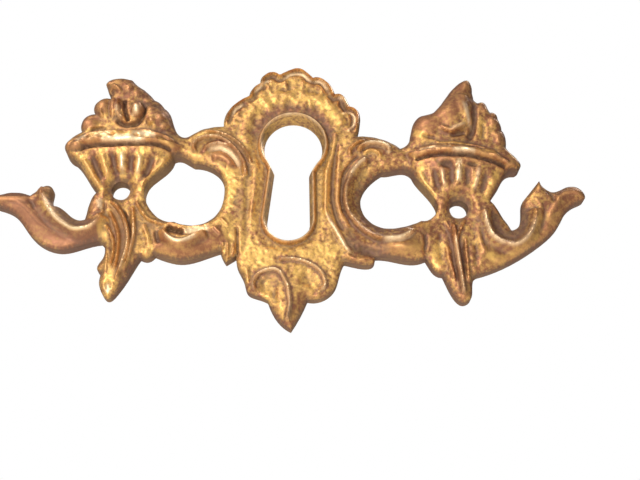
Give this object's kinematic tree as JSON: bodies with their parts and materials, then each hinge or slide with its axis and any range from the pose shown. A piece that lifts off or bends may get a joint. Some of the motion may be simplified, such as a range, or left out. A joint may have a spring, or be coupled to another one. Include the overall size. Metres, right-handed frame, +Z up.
{
  "type": "keyhole escutcheon",
  "caption": "Cast brass Rococo keyhole plate with shell crest, flaming urns, C-scroll windows, acanthus leaves and two pin holes.",
  "frame": {"origin": "halfway between the two pin holes, on the flat back face", "axes": "+X along the plate to its right as seen from the front, +Z up as it hangs on a door or drawer, -Y out of the ornamented front; the back face lies on y = 0"},
  "size_m": [0.0798, 0.006, 0.0375],
  "materials": {
    "aged_brass": "cast, gilt lacquer worn to coppery brown on the high parts, dirt in the hollows"
  },
  "bodies": {
    "root": {"cast_plate": "aged_brass"}
  },
  "joints": []
}
